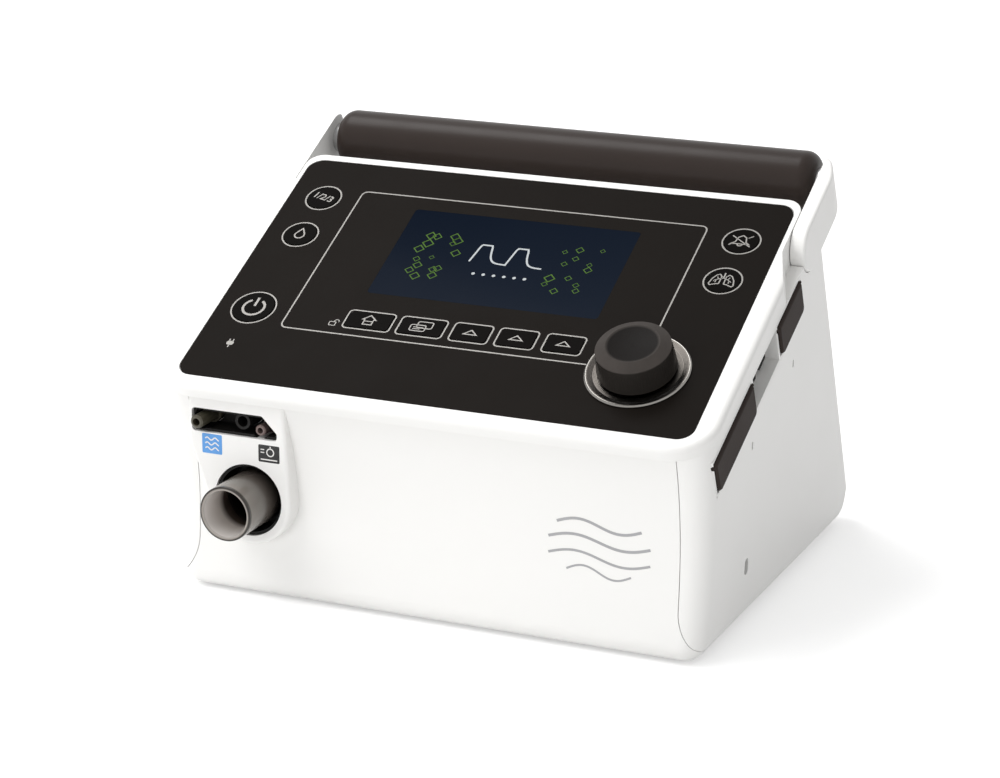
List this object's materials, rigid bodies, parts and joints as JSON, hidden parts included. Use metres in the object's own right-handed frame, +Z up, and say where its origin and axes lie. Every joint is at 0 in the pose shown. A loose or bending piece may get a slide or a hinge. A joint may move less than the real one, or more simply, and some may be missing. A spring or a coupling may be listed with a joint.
{
  "type": "home ventilator",
  "caption": "Bedside breathing ventilator with a sloping black control deck, screen, keys, push-turn knob, swing-up carrying handle and a 22 mm air outlet.",
  "frame": {"origin": "under the middle of the box that holds the part, at the bottom of its feet", "axes": "+X to the right seen from the front, +Y to the back, +Z up; the outlet points to -Y"},
  "size_m": [0.2302, 0.217, 0.1696],
  "materials": {
    "case_white": "fine satin moulding",
    "panel_black": "smooth satin overlay",
    "key_black": "satin key caps",
    "screen_glass": "polished, slightly blue",
    "bright_ring": "polished with a turned dish",
    "knob_black": "half gloss",
    "grip_dark": "smooth soft-touch",
    "soft_rubber": "matt",
    "steel": "plain",
    "clear_grey": "smoked, half clear",
    "socket_dark": "matt",
    "nozzle_grey": "satin",
    "hose_grey": "matt",
    "inner_plastic": "plain",
    "circuit_board": "lacquered",
    "filter_foam": "open foam",
    "aluminium_grey": "plain sheet"
  },
  "bodies": {
    "case": {"housing": "case_white", "front_fascia": "case_white", "base_tray": "case_white", "rear_panel": "case_white", "port_tub": "case_white", "rubber_feet": "soft_rubber", "case_screws": "steel", "board_screws": "steel", "control_overlay": "panel_black", "display_window": "screen_glass", "lcd_module": "inner_plastic", "control_board": "circuit_board", "knob_ring": "bright_ring", "encoder": "inner_plastic", "handle_pins": "steel", "outlet_tube": "clear_grey", "outlet_socket": "socket_dark", "outlet_seal": "soft_rubber", "outlet_hose": "hose_grey", "pressure_nozzle": "nozzle_grey", "sensor_socket": "socket_dark", "slot_liner": "socket_dark", "supply_nozzle": "nozzle_grey", "data_socket": "socket_dark", "remote_socket": "socket_dark", "network_socket": "socket_dark", "card_socket": "socket_dark", "service_socket": "socket_dark", "intake_filter": "filter_foam", "intake_duct": "inner_plastic", "mains_inlet": "socket_dark", "blower_lower": "inner_plastic", "blower_upper": "inner_plastic", "blower_motor": "steel", "blower_mounts": "soft_rubber", "battery_pack": "inner_plastic", "power_supply": "aluminium_grey", "main_board": "circuit_board", "speaker": "inner_plastic"},
    "handle": {"handle_arm_left": "case_white", "handle_arm_right": "case_white", "handle_bar": "steel", "handle_grip": "grip_dark"},
    "knob_press": {"encoder_plunger": "inner_plastic"},
    "knob": {"knob_shaft": "steel", "knob_cap": "knob_black"},
    "front_cover": {"port_cover_front": "soft_rubber"},
    "rear_cover": {"port_cover_rear": "soft_rubber"},
    "filter_door": {"filter_door": "case_white"},
    "rotor": {"impeller": "inner_plastic"},
    "key_power": {"key_power": "key_black"},
    "key_program": {"key_program": "key_black"},
    "key_humidifier": {"key_humidifier": "key_black"},
    "key_breath": {"key_breath": "key_black"},
    "key_alarm_mute": {"key_alarm_mute": "key_black"},
    "soft_key_1": {"soft_key_1": "key_black"},
    "soft_key_2": {"soft_key_2": "key_black"},
    "soft_key_3": {"soft_key_3": "key_black"},
    "soft_key_4": {"soft_key_4": "key_black"},
    "soft_key_5": {"soft_key_5": "key_black"}
  },
  "joints": [
    {"name": "handle_pivot", "type": "hinge", "parent": "case", "child": "handle", "pos_m": [0, 0.02523, 0.13919], "axis": [1, 0, 0], "range_deg": [0, 65]},
    {"name": "knob_push", "type": "slide", "parent": "case", "child": "knob_press", "axis": [0, 0.4587, -0.8886], "range_m": [0, 0.0005], "stiffness_N_per_m": 2500, "springref_m": -0.0005},
    {"name": "knob_turn", "type": "hinge", "parent": "knob_press", "child": "knob", "pos_m": [0.0753, -0.06093, 0.10597], "axis": [0, -0.4587, 0.8886], "continuous": true},
    {"name": "key_power_press", "type": "slide", "parent": "case", "child": "key_power", "axis": [0, 0.4587, -0.8886], "range_m": [0, 0.0005], "stiffness_N_per_m": 1500, "springref_m": -0.0005},
    {"name": "key_program_press", "type": "slide", "parent": "case", "child": "key_program", "axis": [0, 0.4587, -0.8886], "range_m": [0, 0.0005], "stiffness_N_per_m": 1500, "springref_m": -0.0005},
    {"name": "key_humidifier_press", "type": "slide", "parent": "case", "child": "key_humidifier", "axis": [0, 0.4587, -0.8886], "range_m": [0, 0.0005], "stiffness_N_per_m": 1500, "springref_m": -0.0005},
    {"name": "key_breath_press", "type": "slide", "parent": "case", "child": "key_breath", "axis": [0, 0.4587, -0.8886], "range_m": [0, 0.0005], "stiffness_N_per_m": 1500, "springref_m": -0.0005},
    {"name": "key_alarm_mute_press", "type": "slide", "parent": "case", "child": "key_alarm_mute", "axis": [0, 0.4587, -0.8886], "range_m": [0, 0.0005], "stiffness_N_per_m": 1500, "springref_m": -0.0005},
    {"name": "soft_key_1_press", "type": "slide", "parent": "case", "child": "soft_key_1", "axis": [0, 0.4587, -0.8886], "range_m": [0, 0.0005], "stiffness_N_per_m": 1500, "springref_m": -0.0005},
    {"name": "soft_key_2_press", "type": "slide", "parent": "case", "child": "soft_key_2", "axis": [0, 0.4587, -0.8886], "range_m": [0, 0.0005], "stiffness_N_per_m": 1500, "springref_m": -0.0005},
    {"name": "soft_key_3_press", "type": "slide", "parent": "case", "child": "soft_key_3", "axis": [0, 0.4587, -0.8886], "range_m": [0, 0.0005], "stiffness_N_per_m": 1500, "springref_m": -0.0005},
    {"name": "soft_key_4_press", "type": "slide", "parent": "case", "child": "soft_key_4", "axis": [0, 0.4587, -0.8886], "range_m": [0, 0.0005], "stiffness_N_per_m": 1500, "springref_m": -0.0005},
    {"name": "soft_key_5_press", "type": "slide", "parent": "case", "child": "soft_key_5", "axis": [0, 0.4587, -0.8886], "range_m": [0, 0.0005], "stiffness_N_per_m": 1500, "springref_m": -0.0005},
    {"name": "front_cover_hinge", "type": "hinge", "parent": "case", "child": "front_cover", "pos_m": [0.11278, -0.06038, 0.08921], "axis": [-0.0107, -0.8886, -0.4585], "range_deg": [0, 100]},
    {"name": "rear_cover_hinge", "type": "hinge", "parent": "case", "child": "rear_cover", "pos_m": [0.11351, 0.00049, 0.12062], "axis": [-0.0107, -0.8886, -0.4585], "range_deg": [0, 100]},
    {"name": "filter_door_hinge", "type": "hinge", "parent": "case", "child": "filter_door", "pos_m": [-0.053, 0.07904, 0.07113], "axis": [-1, 0, 0], "range_deg": [0, 85]},
    {"name": "rotor_spin", "type": "hinge", "parent": "case", "child": "rotor", "pos_m": [-0.053, 0.04096, 0.04], "axis": [0, 0, 1], "continuous": true}
  ]
}
